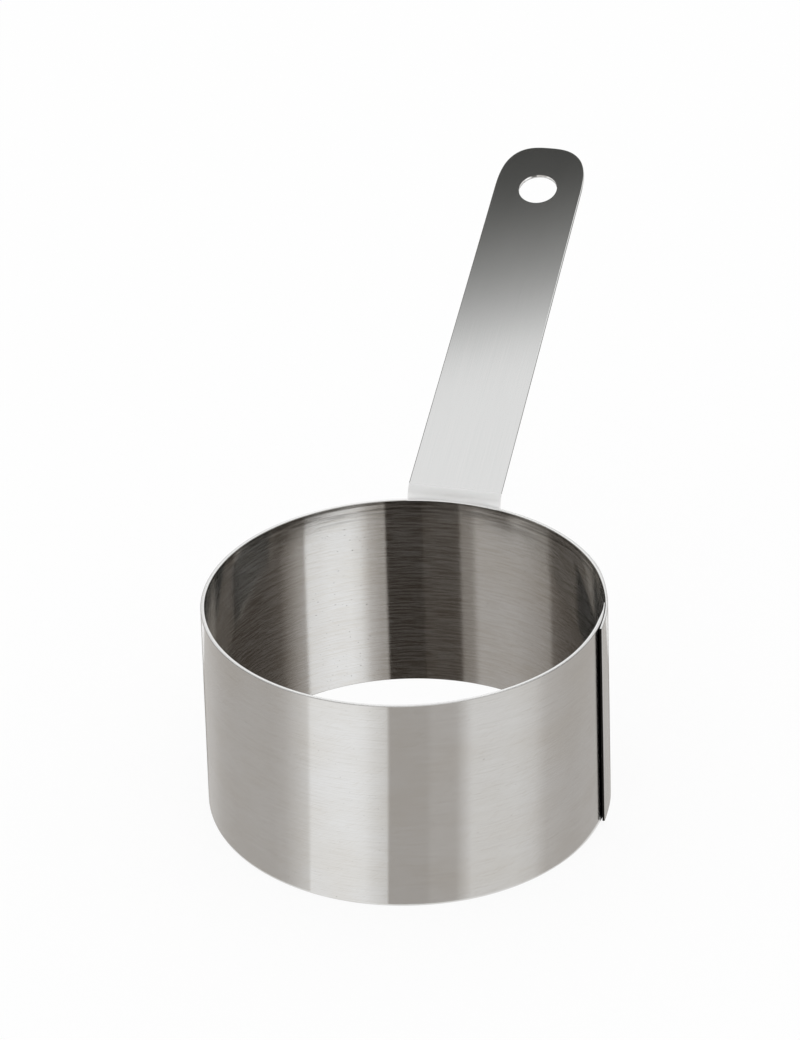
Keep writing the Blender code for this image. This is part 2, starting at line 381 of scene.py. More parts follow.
BAND_SIZES = {
    "Inner Diameter": INNER_DIAMETER, "Sheet": SHEET, "Height": HEIGHT, "Foot Flare": FOOT_FLARE,
    "Free Edge Angle": FREE_EDGE_ANGLE, "Lap Length": LAP_LENGTH, "Lap Gap": LAP_GAP,
    "Straight End": STRAIGHT_END, "Inner Set": INNER_SET, "Inner Ramp": INNER_SET_RAMP,
    "Outer Ramp": OUTER_SET_RAMP, "Inner End": INNER_END, "Outer End": OUTER_END,
    "Edge Break": FILED_EDGE, "Weld Diameter": 3.0 * MM, "Weld Margin": 7.0 * MM,
}
BAND_COUNTS = {"Steps": 720, "Weld Count": 3}


def band_tree():
    """The whole band, with named inputs for its sizes."""
    inputs = {name: ("NodeSocketFloat", value) for name, value in BAND_SIZES.items()}
    inputs.update({name: ("NodeSocketInt", value) for name, value in BAND_COUNTS.items()})
    inputs["Finish"] = ("NodeSocketMaterial", None)
    tree, size = new_shape_tree("rolled_band", inputs)
    joined = add(tree, "GeometryNodeJoinGeometry")
    for shape in (lap_welds(tree, size), swept_band(tree, size)):
        tree.links.new(shape.socket, joined.node.inputs[0])
    centred = add(tree, "GeometryNodeTransform", None,
                  {"Geometry": joined["Geometry"], "Translation": AXIS_PLACE})["Geometry"]
    dressed = add(tree, "GeometryNodeSetMaterial", None,
                  {"Geometry": centred, "Material": size["Finish"]})["Geometry"]
    add(tree, "NodeGroupOutput", None, {"Geometry": dressed})
    return tree


def link(name, data):
    """Object that holds this mesh or camera, in the scene's collection."""
    item = bpy.data.objects.new(name, data)
    bpy.context.scene.collection.objects.link(item)
    return item


def grown(name, tree, values):
    """Plain mesh object that a Geometry Nodes tree makes from these input values."""
    seed = link(name + "_seed", bpy.data.meshes.new(name + "_seed"))
    nodes = seed.modifiers.new("shape", "NODES")
    nodes.node_group = tree
    for socket in tree.interface.items_tree:
        if socket.in_out == "INPUT" and socket.name in values:
            nodes[socket.identifier] = values[socket.name]
    bpy.context.view_layer.update()
    graph = bpy.context.evaluated_depsgraph_get()
    mesh = bpy.data.meshes.new_from_object(seed.evaluated_get(graph), preserve_all_data_layers=True,
                                           depsgraph=graph)
    bpy.data.objects.remove(seed, do_unlink=True)
    mesh.name = name
    return link(name, mesh)


def box_of(item):
    """Lowest and highest corner of an object in mm, for a printed check."""
    corners = [item.matrix_world @ Vector(corner) for corner in item.bound_box]
    return [round(end(corner[axis] for corner in corners) / MM, 3)
            for end in (min, max) for axis in range(3)]


print("band tree ready, with", len(BAND_SIZES), "sizes")

# %% [markdown]
# ## Brushed steel for the band
#
# Stainless sheet comes from the mill with fine lines that run along it, so on the ring they run
# round. Such a surface mirrors sharply across the lines' length and smears what it mirrors up and
# down, which is why a brushed ring shows tall upright bands of light and dark. One shader setting
# does this: Anisotropic, turned a quarter so that the smear is upright. The lines that can be seen
# are drawn too, as a shallow bump that is long along the sheet and a tenth of a millimetre across.
#
# Use has left its marks on the inside: streaks that run round, slanting strokes of a scouring
# pad, pits, and brown grime below the rim. Scratched steel also scatters a little light in all
# directions, which is drawn by making it a few per cent less metallic there. Some light and shade
# is painted into the colour as well. The filed cut edges and a line along the free edge are painted
# lighter as a painted highlight. The rounded corners of the cut edges and a narrow band just under
# the rim on the inside are painted darker as painted shade. The free edge's end face and the sheet
# just under it turn near-black.

# %% Tools for a finish
def new_finish(name):
    """Empty node material and its tree."""
    finish = bpy.data.materials.new(name)
    finish.use_nodes = True
    finish.node_tree.nodes.clear()
    return finish, finish.node_tree


def noise(place, detail=2.0, rough=0.5):
    """Grey noise around one half at a place in pattern space."""
    return add(place.tree, "ShaderNodeTexNoise", {"noise_dimensions": "3D"},
               {"Vector": place, "Scale": 1.0, "Detail": detail, "Roughness": rough})["Fac"]


def attribute(tree, name):
    """Number stored on the mesh under this name."""
    return add(tree, "ShaderNodeAttribute", {"attribute_type": "GEOMETRY", "attribute_name": name})["Fac"]


def object_place(tree):
    """X, Y and Z of the shaded point, in metres, in the frame of the model."""
    return parts_of(add(tree, "ShaderNodeTexCoord")["Object"])


def blend(mask, under, over):
    """Colour that goes from under to over as the mask goes from 0 to 1."""
    return add(mask.tree, "ShaderNodeMix", {"data_type": "RGBA", "blend_type": "MIX"},
               {"Factor": mask, "A": under, "B": over})["Result"]


# Browner tint that every darkening mark takes, the grime and the painted shade under the rim too
GRIME_AND_SHADE_TINT = (1.0, 0.985, 0.96)


def darker(mask, tone, share):
    """Tone that loses up to a share of itself, and turns a little browner, where the mask is 1."""
    left = [(1 - share) * part for part in GRIME_AND_SHADE_TINT]
    return add(mask.tree, "ShaderNodeMix", {"data_type": "RGBA", "blend_type": "MULTIPLY"},
               {"Factor": mask, "A": tone, "B": (*left, 1)})["Result"]


print("finish tools ready")

# %% Zones and tones of the band's steel
# Each zone comes in or goes out between two places, on the way along the sheet or up the wall
# The filed rim has no brush lines and is painted lighter as a painted highlight
FILED_AND_HIGHLIGHT = (HEIGHT / 2 - FILED_EDGE - 0.02 * MM, HEIGHT / 2 - FILED_EDGE + 0.03 * MM)
END_FACE = (0.0, 0.03 * MM)
# The burr along the free edge is painted lighter as a painted highlight
BURR_HIGHLIGHT_IN, BURR_HIGHLIGHT_OUT = (0.03 * MM, 0.08 * MM), (0.30 * MM, 0.40 * MM)
# Stretch of the sheet just under the free edge that turns near-black
UNDER_EDGE = (ONCE_ROUND - 0.6 * MM, ONCE_ROUND - 0.2 * MM)
# Behind the leg the painted shade on the corners is left out
BEHIND_LEG = (STRIP_WIDTH / 2 - 0.3 * MM, STRIP_WIDTH / 2 + 0.3 * MM)
GRIMY = (HEIGHT - 6 * MM, HEIGHT - 0.5 * MM)
# Narrow band just under the rim on the inside, painted darker as painted shade
LIP_SHADE = (HEIGHT - 0.9 * MM, HEIGHT - 0.5 * MM)

STEEL_TONES = (0.73, 0.73, 0.725, 1), (0.77, 0.77, 0.765, 1)
# Lighter tone of the painted highlight on the filed edges and the burr
FILED_HIGHLIGHT_TONE = (0.90, 0.90, 0.895, 1)
# Darker tone of the painted shade on the rounded corners of the cut edges, which draws their thin dark
# outlines
CORNER_SHADE_TONE = (0.52, 0.51, 0.495, 1)
# Near-black of the free edge's end face and of the sheet just under it
SEAM_BLACK_TONE = (0.02, 0.018, 0.016, 1)
LINE_DEPTH, WAVE_DEPTH, STROKE_DEPTH = 0.0016 * MM, 0.006 * MM, 0.0012 * MM
BAND_ROUGHNESS = 0.12
print("soot lies on", round((ONCE_ROUND - UNDER_EDGE[0]) / MM, 2), "mm below the free edge")

# %% Steel for the band
def band_steel():
    """Brushed steel with the marks of use and some painted highlight and shade, placed by the distance
    along the sheet.
    """
    finish, tree = new_finish("brushed_band_steel")
    run, side = attribute(tree, "run"), attribute(tree, "side")
    _, _, level = object_place(tree)
    inside, outer = side.ease(0.3, -0.3), side.ease(0.9, 0.97)

    def pattern(run, level, long, high, sides, start, detail=3.0, rough=0.5):
        """Noise in spots so many mm long and high, with other spots on each side of the sheet."""
        place = vector(tree, run / (long * MM), level / (high * MM), side * sides + start)
        return noise(place, detail, rough)

    slant_run, slant_level = run + level * 0.7, level - run * 0.7
    lines = pattern(run, level, long=12, high=0.07, sides=40, start=0, detail=2.0)
    waves = pattern(run, level, long=50, high=0.9, sides=20, start=7)
    clouds = pattern(run, level, long=18, high=12, sides=10, start=3)
    scratches = pattern(run, level, long=7, high=0.22, sides=30, start=5, detail=4.0, rough=0.7)
    streaks = pattern(run, level, long=8, high=0.42, sides=12, start=6, detail=4.0, rough=0.6)
    strokes = pattern(slant_run, slant_level, long=4, high=0.25, sides=15, start=2, rough=0.6)
    blotches = pattern(run, level, long=16, high=0.7, sides=6, start=1, detail=4.0, rough=0.6)
    pits = pattern(run, level, long=0.55, high=0.45, sides=9, start=4, detail=1.0)
    specks = pattern(run, level, long=0.5, high=1.1, sides=3, start=9, detail=4.0, rough=0.7)

    # Filed edges: no brush lines, and a painted highlight
    filed_edge_and_highlight = abs(level - HEIGHT / 2).ease(*FILED_AND_HIGHLIGHT)
    # Painted shade on the rounded corners of the cut edges, left out behind the leg
    behind_leg = abs(run - LEG_PLACE).ease(*BEHIND_LEG, 1.0, 0.0)
    corner = filed_edge_and_highlight * abs(side).ease(0.65, 0.85) * (1 - behind_leg)
    # Burr along the free edge: rougher, and a painted highlight
    burr_and_highlight = outer * run.ease(*BURR_HIGHLIGHT_IN) * run.ease(*BURR_HIGHLIGHT_OUT, 1.0, 0.0)
    # The free edge's end face and the sheet just under it turn near-black in flecks
    end_face, under_edge = run.ease(*END_FACE, 1.0, 0.0), outer * run.ease(*UNDER_EDGE)
    seam_black = end_face.at_least(under_edge) * specks.ease(0.76, 0.62)

    tone = blend(lines.ease(0.3, 0.7), *STEEL_TONES)
    for mark, share in (
            (clouds.ease(0.35, 0.75), 0.05),
            (scratches.ease(0.48, 0.75), 0.10),
            (strokes.ease(0.52, 0.75), 0.06),
            (streaks.ease(0.44, 0.66) * (0.2 + inside * 0.8), 0.06),
            (blotches.ease(0.42, 0.62) * inside * level.ease(*GRIMY), 0.55),
            # Painted shade just under the rim on the inside
            (inside * level.ease(*LIP_SHADE), 0.45),
            (pits.ease(0.73, 0.76) * (0.3 + inside * 0.7), 0.6)):
        tone = darker(mark, tone, share)
    # Painted highlight on the filed edges and the burr
    tone = blend(filed_edge_and_highlight.at_least(burr_and_highlight), tone, FILED_HIGHLIGHT_TONE)
    # Painted shade on the corners of the cut edges
    tone = blend(corner, tone, CORNER_SHADE_TONE)
    tone = blend(seam_black, tone, SEAM_BLACK_TONE)

    height = lines * (LINE_DEPTH * (1 - filed_edge_and_highlight)) + waves * WAVE_DEPTH + strokes * (inside * STROKE_DEPTH)
    grain = add(tree, "ShaderNodeBump", None,
                {"Strength": 1.0, "Distance": 1.0, "Height": height})["Normal"]
    rough = (BAND_ROUGHNESS - inside * 0.03 + (clouds - 0.5) * 0.03 + (scratches - 0.5) * 0.04
             + burr_and_highlight * 0.2 + seam_black * 0.5)
    haze = streaks.ease(0.42, 0.60, 1.0, 0.0) * 0.05 + strokes.ease(0.40, 0.60, 1.0, 0.0) * 0.02
    metal = 1 - haze * (0.15 + inside * 0.85)
    shader = add(tree, "ShaderNodeBsdfPrincipled", None, {
        "Base Color": tone, "Metallic": metal, "Roughness": rough, "Anisotropic": 1.0,
        "Anisotropic Rotation": 0.25, "Normal": grain})
    add(tree, "ShaderNodeOutputMaterial", None, {"Surface": shader["BSDF"]})
    return finish


band_finish = band_steel()
print("steel for the band:", len(band_finish.node_tree.nodes), "nodes")

# %% Make the band
band = grown("rolled_band", band_tree(), {**BAND_SIZES, **BAND_COUNTS, "Finish": band_finish})
print("rolled band:", len(band.data.polygons), "faces, box", box_of(band))

# %% [markdown]
# ## The handle: a blank that is cut flat and then bent
#
# A press cuts the strip's blank flat, with its round end and its hole. Then the blank is bent once,
# and its leg is saddled to fit the ring. The mesh is made in the same order: every point has a
# distance along the strip and a distance across it, and one function says where the bent strip
# carries that point. The leg and the bend are a fine grid, because they curve. The blade is flat, so
# it has no points inside its outline.

# %% Where the bent strip carries a point
BEND_FACE_RADIUS = BEND_RADIUS + SHEET
BEND_TURN = math.pi / 2 + WALL_SLOPE - BLADE_RISE_ANGLE
LEG_LENGTH = (LEG_DEPTH + LEG_RISE) / math.cos(WALL_SLOPE)
BEND_LENGTH = BEND_FACE_RADIUS * BEND_TURN
BLADE_START = LEG_LENGTH + BEND_LENGTH
STRIP_LENGTH = BLADE_START + BLADE_LENGTH
FLATTEN_LEAD = 3.0 * MM         # from where the leg starts to flatten to the start of the bend
FLATTEN_SHARE = 0.7             # share of the bend after which the strip is flat
FLAT = 1e-6                     # curvature below which it counts as flat
PROBE = 0.01 * MM               # step in which the slope of the strip is measured


def wall_radius(height):
    """Radius of the band's outer face away from the lap."""
    return MEAN_RADIUS + SHEET / 2 + FOOT_FLARE * (0.5 - height / HEIGHT)


def direction(angle):
    """Unit vector in the handle's upright plane."""
    return Vector((0, math.cos(angle), math.sin(angle)))


def smooth_step(value):
    """Ease from 0 to 1 as value goes from 0 to 1."""
    value = min(max(value, 0.0), 1.0)
    return value * value * (3 - 2 * value)


def spine(run):
    """Point, and direction above the horizontal, of the strip's upper face."""
    foot = HEIGHT - LEG_DEPTH
    leg_angle = math.pi / 2 + WALL_SLOPE
    start = Vector((0, wall_radius(foot) + LEG_CLEARANCE, foot))
    if run <= LEG_LENGTH:
        return start + run * direction(leg_angle), leg_angle
    bend_start = start + LEG_LENGTH * direction(leg_angle)
    centre = bend_start + BEND_FACE_RADIUS * direction(leg_angle - math.pi / 2)
    angle = max(leg_angle - (run - LEG_LENGTH) / BEND_FACE_RADIUS, BLADE_RISE_ANGLE)
    point = centre + BEND_FACE_RADIUS * direction(angle + math.pi / 2)
    return point + max(run - BLADE_START, 0.0) * direction(angle), angle


def carried(run, across):
    """Place of a point of the upper face: saddled on the leg, and flat on the blade."""
    point, angle = spine(run)
    flatten_run = FLATTEN_LEAD + BEND_LENGTH * FLATTEN_SHARE
    flattened = smooth_step((run - LEG_LENGTH + FLATTEN_LEAD) / flatten_run)
    saddle = (1 - flattened) / (wall_radius(point.z) + LEG_CLEARANCE)
    if saddle < FLAT:
        return point + Vector((across, 0, 0))
    turn = across * saddle
    upper = direction(angle + math.pi / 2)
    return point + Vector((math.sin(turn), 0, 0)) / saddle + upper * (1 - math.cos(turn)) / saddle


def upward(run, across):
    """Direction square to the strip's upper face at a point."""
    along = carried(run + PROBE, across) - carried(run - PROBE, across)
    aside = carried(run, across + PROBE) - carried(run, across - PROBE)
    return aside.cross(along).normalized()


print("strip cut to", round(STRIP_LENGTH / MM, 1), "by", round(STRIP_WIDTH / MM, 1), "mm")

# %% [markdown]
# Spot welding leaves a round dish where the copper electrode pressed. There are four on the back of
# the leg, two side by side in each of two rows. They are shallow and smooth, so they are pressed into
# the leg's own grid, as the electrode did, and aren't cut out of it.

# %% Dishes that the electrode pressed
MARK_RADIUS = 4.5 * MM / 2
MARK_DEPTH = 0.15 * MM
MARK_FLOOR = 0.62               # share of the radius that the flat floor of a dish takes
MARK_PLACES = [(run * MM, across * MM) for run in (6.0, 20.0) for across in (-5.0, 5.0)]


def dish_depth(run, across):
    """How deep the electrode pressed the back of the leg in at a point."""
    depth = 0.0
    for mark_run, mark_across in MARK_PLACES:
        away = math.hypot(run - mark_run, across - mark_across) / MARK_RADIUS
        depth += MARK_DEPTH * (1 - smooth_step((away - MARK_FLOOR) / (1 - MARK_FLOOR)))
    return depth


print(len(MARK_PLACES), "dishes,", MARK_DEPTH / MM, "mm deep")

# %% [markdown]
# The outline of the blank is a straight-sided strip with small round corners at the leg's end and a
# full round end that is a little squarer than a half circle. A superellipse has just such a
# shoulder, and one number sets how full it is. The outline is walked in even steps, because the
# rounded edge that follows it needs points that don't crowd.

# %% Outline of the blank and of its hole
ARC_POINTS = 400
ROUND_STEP, EDGE_STEP, BLADE_STEP = 0.3 * MM, 0.6 * MM, 3 * MM
BEND_ROWS = 24
HOLE_POINTS = 96


def evenly(points, step):
    """Points about one step apart along a line through the given points, both ends kept."""
    lengths = [0.0]
    for before, after in zip(points, points[1:]):
        lengths.append(lengths[-1] + math.dist(before, after))
    count = max(round(lengths[-1] / step), 1)
    spread, place = [], 0
    for index in range(count + 1):
        wanted = lengths[-1] * index / count
        while place < len(points) - 2 and lengths[place + 1] < wanted:
            place += 1
        share = (wanted - lengths[place]) / max(lengths[place + 1] - lengths[place], 1e-12)
        spread.append(tuple(a + (b - a) * share for a, b in zip(points[place], points[place + 1])))
    return spread


def half_outline():
    """Distance along and across of one side of the blank, from the leg's end to the tip."""
    half, radius = STRIP_WIDTH / 2, LEG_CORNER_RADIUS
    turns = [math.pi / 2 * index / ARC_POINTS for index in range(ARC_POINTS + 1)]
    corner = [(radius * (1 - math.cos(turn)), half - radius + radius * math.sin(turn)) for turn in turns]
    power = 2 / TIP_FULLNESS
    tip = [(STRIP_LENGTH - TIP_LENGTH + TIP_LENGTH * math.sin(turn) ** power,
            half * max(math.cos(turn), 0.0) ** power) for turn in turns]
    leg = evenly([corner[-1], (LEG_LENGTH, half)], EDGE_STEP)
    bend = evenly([leg[-1], (BLADE_START, half)], BEND_LENGTH / BEND_ROWS)
    blade = evenly([bend[-1], tip[0]], BLADE_STEP)
    bottom = evenly([(0.0, 0.0), corner[0]], EDGE_STEP)
    pieces = [bottom, evenly(corner, ROUND_STEP), leg, bend, blade, evenly(tip, ROUND_STEP)]
    return [point for piece in pieces for point in piece[:-1]] + [(STRIP_LENGTH, 0.0)]


one_side = half_outline()
outline = one_side + [(run, -across) for run, across in reversed(one_side[1:-1])]
hole_turns = [math.tau * index / HOLE_POINTS for index in range(HOLE_POINTS)]
hole_run, hole_radius = STRIP_LENGTH - HOLE_FROM_TIP, HOLE_DIAMETER / 2
hole = [(hole_run + hole_radius * math.cos(turn), hole_radius * math.sin(turn)) for turn in hole_turns]
print(len(outline), "points round the blank and", len(hole), "round the hole")

# %% [markdown]
# The blank is filled with triangles while it is still flat. A Delaunay triangulation joins the
# outline, the hole and a grid of points over the leg and the bend, which are the places that
# will curve. The blade needs no points inside, because it stays flat.

# %% Fill the flat blank
from mathutils.geometry import delaunay_2d_cdt

EDGE_BREAK = 0.155 * MM         # radius of the strip's rounded edges
EDGE_FACETS = 3
EDGE_TURNS = [math.pi / 2 * index / EDGE_FACETS for index in range(EDGE_FACETS + 1)]
GRID_STEP = 0.5 * MM
HALF_COLUMNS = 20
WELD_DISTANCE = 1e-9


def inset(loop, distance):
    """Loop moved towards the metal by a distance."""
    moved = []
    for before, (run, across), after in zip([loop[-1], *loop], loop, [*loop[1:], loop[0]]):
        along = Vector((after[0] - before[0], after[1] - before[1])).normalized()
        moved.append((run + along.y * distance, across - along.x * distance))
    return moved


def filled_blank():
    """Points and triangles of the blank's face inside its rounded edges."""
    rings = [inset(outline, EDGE_BREAK), inset(hole, -EDGE_BREAK)]
    points = [Vector(point) for ring in rings for point in ring]
    edges, start = [], 0
    for ring in rings:
        edges += [(start + index, start + (index + 1) % len(ring)) for index in range(len(ring))]
        start += len(ring)
    rows = [index * GRID_STEP for index in range(1, int(LEG_LENGTH / GRID_STEP))]
    rows += [LEG_LENGTH + BEND_LENGTH * index / BEND_ROWS for index in range(BEND_ROWS + 1)]
    reach = STRIP_WIDTH / 2 - 2 * EDGE_BREAK
    for run in rows:
        shy = max(LEG_CORNER_RADIUS - run, 0.0)
        half = reach - LEG_CORNER_RADIUS + math.sqrt(LEG_CORNER_RADIUS ** 2 - shy ** 2)
        points += [Vector((run, half * (column / HALF_COLUMNS - 1)))
                   for column in range(2 * HALF_COLUMNS + 1)]
    verts, _, faces, *_ = delaunay_2d_cdt(points, edges, [], 1, WELD_DISTANCE)

    def from_hole(face):
        middle = sum((verts[index] for index in face), Vector((0, 0))) / len(face)
        return (middle - Vector((hole_run, 0.0))).length

    metal = [face for face in faces if from_hole(face) > hole_radius]
    return verts, metal, [list(range(len(rings[0]))), list(range(len(rings[0]), start))]


flat_points, flat_faces, flat_rims = filled_blank()
print("flat blank:", len(flat_points), "points and", len(flat_faces), "triangles")

# %% [markdown]
# Now the blank gets its thickness and is bent, both in one step. The filled face is laid down twice,
# as the upper and the lower face, and a band of small facets runs round each rim between them: down
# over the upper edge, across the cut and round under the lower edge.

# %% Bend the blank
SHARP_TURN = math.radians(9)


def bent_strip():
    """Closed shell of the bent strip, with its place along and across stored on each point."""
    bm = bmesh.new()
    stored = {name: bm.verts.layers.float.new(name) for name in ("run", "across", "side")}

    def point(run, across, depth):
        share = depth / SHEET
        pressed = dish_depth(run, across) if depth == SHEET else 0.0
        vert = bm.verts.new(carried(run, across) - upward(run, across) * (depth - pressed) + AXIS_PLACE)
        vert[stored["run"]], vert[stored["across"]], vert[stored["side"]] = run, across, 1 - 2 * share
        return vert

    upper = [point(place.x, place.y, 0.0) for place in flat_points]
    lower = [point(place.x, place.y, SHEET) for place in flat_points]
    for face in flat_faces:
        bm.faces.new([upper[index] for index in face])
        bm.faces.new([lower[index] for index in reversed(face)])
    for loop, way, rim in ((outline, 1, flat_rims[0]), (hole, -1, flat_rims[1])):
        rings = [[upper[index] for index in rim]]
        levels = [(turn, EDGE_BREAK * (1 - math.cos(turn))) for turn in EDGE_TURNS[1:]]
        levels += [(turn, SHEET - depth) for turn, depth in reversed(levels)]
        for turn, depth in levels:
            inward = inset(loop, way * EDGE_BREAK * (1 - math.sin(turn)))
            rings.append([point(run, across, depth) for run, across in inward])
        rings.append([lower[index] for index in rim])
        for ring, following in zip(rings, rings[1:]):
            for index, vert in enumerate(ring):
                after = (index + 1) % len(ring)
                bm.faces.new((vert, ring[after], following[after], following[index]))
    bmesh.ops.recalc_face_normals(bm, faces=bm.faces)
    mesh = bpy.data.meshes.new("strip_handle")
    bm.to_mesh(mesh)
    bm.free()
    mesh.shade_smooth()
    mesh.set_sharp_from_angle(angle=SHARP_TURN)
    return mesh


handle = link("strip_handle", bent_strip())
print("strip handle:", len(handle.data.polygons), "faces, box", box_of(handle))

# %% [markdown]
# ## Satin steel for the handle
#
# The handle is cut from bright rolled strip. It is smoother than the band and mirrors evenly in all
# directions, so it shows one long soft gradient of the light above it. The jaws of the press have
# left the bend matt. The bend is also painted lighter, most towards the leg, where less light
# reaches it, and the walls that the cutter left are painted lighter than the faces as a painted
# highlight.

# %% Steel for the handle
# Zones where the bend is matt and painted lighter
MATT_AND_LIGHT_IN = (LEG_LENGTH - 3 * MM, LEG_LENGTH - 1.5 * MM)
MATT_AND_LIGHT_OUT = (BLADE_START - 0.8 * MM, BLADE_START - 0.1 * MM)
# The painted light on the bend fades from the leg's end towards the blade
BEND_LIGHT_RISE = (LEG_LENGTH - 1 * MM, BLADE_START - 1 * MM)
# Cut walls of the strip, which are painted lighter as a painted highlight
CUT_WALL = (0.66, 0.58)
STRIP_TONES = (0.70, 0.705, 0.70, 1), (0.73, 0.73, 0.725, 1)
# Tones of the painted light on the bend, lightest at the leg's end, where less light reaches it
BEND_LIGHT_TONES = (0.95, 0.95, 0.945, 1), (0.77, 0.77, 0.765, 1)
# Lighter tone of the painted highlight on the cut walls
CUT_HIGHLIGHT_TONE = (0.97, 0.97, 0.965, 1)
STRIP_LINE_DEPTH = 0.001 * MM
STRIP_ROUGHNESS = 0.07


def handle_steel():
    """Smooth satin steel that the press has left matt at the bend, where it is also painted lighter."""
    finish, tree = new_finish("satin_handle_steel")
    run, across, side = (attribute(tree, name) for name in ("run", "across", "side"))
    lines = noise(vector(tree, run / (25 * MM), across / (0.16 * MM), 0.0), 3.0)
    clouds = noise(vector(tree, run / (14 * MM), across / (7 * MM), 5.0), 3.0)
    grain = add(tree, "ShaderNodeBump", None,
                {"Strength": 1.0, "Distance": STRIP_LINE_DEPTH, "Height": lines})["Normal"]
    # Matt bend, which is also painted lighter
    matt_and_painted_light = run.ease(*MATT_AND_LIGHT_IN) * run.ease(*MATT_AND_LIGHT_OUT, 1.0, 0.0)
    tone = blend(lines.ease(0.3, 0.7), *STRIP_TONES)
    # Painted light on the bend, lightest towards the leg
    tone = blend(matt_and_painted_light, tone, blend(run.ease(*BEND_LIGHT_RISE), *BEND_LIGHT_TONES))
    # Painted highlight on the cut walls
    tone = blend(abs(side).ease(*CUT_WALL), tone, CUT_HIGHLIGHT_TONE)
    rough = STRIP_ROUGHNESS + (clouds - 0.5) * 0.02 + matt_and_painted_light * 0.4
    shader = add(tree, "ShaderNodeBsdfPrincipled", None, {
        "Base Color": tone, "Metallic": 1 - matt_and_painted_light * 0.95, "Roughness": rough, "Normal": grain})
    add(tree, "ShaderNodeOutputMaterial", None, {"Surface": shader["BSDF"]})
    return finish


handle.data.materials.append(handle_steel())
print("steel for the handle on", handle.name)

# %% [markdown]
# ## Camera
#
# The camera's place was found by fitting the photograph's outline: it looks down by 29 degrees from
# half a metre away, with a long lens. It stands a little to the right and is held not quite level.

# %% Camera
CAMERA_TURN = math.radians(16.07)
CAMERA_RISE = math.radians(29.04)
CAMERA_ROLL = math.radians(-1.752)
CAMERA_AWAY = 544.98 * MM
AIM_RIGHT, AIM_HEIGHT = -0.322 * MM, 62.23 * MM
FOCAL_LENGTH, SENSOR_WIDTH = 96.75, 36.0
to_right = Vector((math.cos(CAMERA_TURN), math.sin(CAMERA_TURN), 0))
to_front = Vector((math.sin(CAMERA_TURN), -math.cos(CAMERA_TURN), 0))
to_camera = to_front * math.cos(CAMERA_RISE) + Vector((0, 0, math.sin(CAMERA_RISE)))
picture_up = to_camera.cross(to_right)
aim = AXIS_PLACE + to_right * AIM_RIGHT + Vector((0, 0, AIM_HEIGHT))

camera_data = bpy.data.cameras.new("camera")
camera_data.sensor_fit = "AUTO"
camera_data.sensor_width = SENSOR_WIDTH
camera_data.lens = FOCAL_LENGTH
camera = link("camera", camera_data)
tilted_right = to_right * math.cos(CAMERA_ROLL) + picture_up * math.sin(CAMERA_ROLL)
tilted_up = picture_up * math.cos(CAMERA_ROLL) - to_right * math.sin(CAMERA_ROLL)
turned = Matrix((tilted_right, tilted_up, to_camera)).transposed().to_4x4()
camera_place = aim + to_camera * CAMERA_AWAY
camera.matrix_world = Matrix.Translation(camera_place) @ turned
bpy.context.scene.camera = camera
print("camera at", [round(value / MM, 1) for value in camera_place])

# %% [markdown]
# ## The white room
#
# The room is plain white all round and lights the ring evenly. Camera rays, glossy rays and rays that
# pass through glass all see a strength of exactly 1, so the steel shows the same white that the
# picture has behind it. Other rays bring the light.
#
# The table is white paper that keeps a soft shadow of the ring. Its middle, inside the ring, is a
# round pane that the steel sees through, so that light comes up inside the ring. Its joint with the
# paper lies under the band's foot. Paper and pane glow with most of the white that they should show,
# and only the rest is lit, so the shadow stays faint.

# %% Room and table
WHITE = (1.0, 1.0, 1.0, 1.0)
PAPER = (0.95, 0.95, 0.95, 1.0)


def seen_directly(tree):
    """1 for a ray that shows the room itself, to the camera, in metal or through glass."""
    ray = add(tree, "ShaderNodeLightPath")
    shown = ray["Is Camera Ray"] + ray["Is Glossy Ray"] + ray["Is Transmission Ray"]
    return shown.maths("MINIMUM", shown, 1.0)


def white_room():
    """World that looks white and lights evenly."""
    world = bpy.data.worlds.new("white_room")
    world.use_nodes = True
    tree = world.node_tree
    tree.nodes.clear()
    shown = seen_directly(tree)
    strength = shown + (1 - shown) * ROOM_LIGHT
    wall = add(tree, "ShaderNodeBackground", None, {"Color": WHITE, "Strength": strength})["Background"]
    add(tree, "ShaderNodeOutputWorld", None, {"Surface": wall})
    world.cycles.sampling_method = "NONE"
    return world


def white_paper(name, glow_share):
    """Paper that is partly its own white where it is seen directly, and partly lit."""
    finish, tree = new_finish(name)
    paper = add(tree, "ShaderNodeBsdfDiffuse", None, {"Color": PAPER})["BSDF"]
    glow = add(tree, "ShaderNodeEmission", None, {"Color": WHITE, "Strength": 1.0})["Emission"]
    share = seen_directly(tree) * glow_share
    both = add(tree, "ShaderNodeMixShader", None, {"Fac": share, 1: paper, 2: glow})["Shader"]
    add(tree, "ShaderNodeOutputMaterial", None, {"Surface": both})
    finish.cycles.emission_sampling = "NONE"
    return finish


def everywhere(share):
    """The same share on the whole sheet."""
    return lambda column, row: share


def grid_sheet(name, columns, rows, place, finish, veil=everywhere(1.0), again=None):
    """Staged sheet with a point for each column and row. Its two veils are stored on the points."""
    bm = bmesh.new()
    stored, stored_again = (bm.verts.layers.float.new(layer) for layer in ("veil", "veil_again"))
    lines = []
    for column in columns:
        lines.append([bm.verts.new(place(column, row)) for row in rows])
        for vert, row in zip(lines[-1], rows):
            vert[stored] = veil(column, row)
            vert[stored_again] = (again or veil)(column, row)
    for line, following in zip(lines, lines[1:]):
        for index in range(len(rows) - 1):
            bm.faces.new((line[index], line[index + 1], following[index + 1], following[index]))
    mesh = bpy.data.meshes.new(name)
    bm.to_mesh(mesh)
    bm.free()
    mesh.materials.append(finish)
    sheet = link(name, mesh)
    return sheet


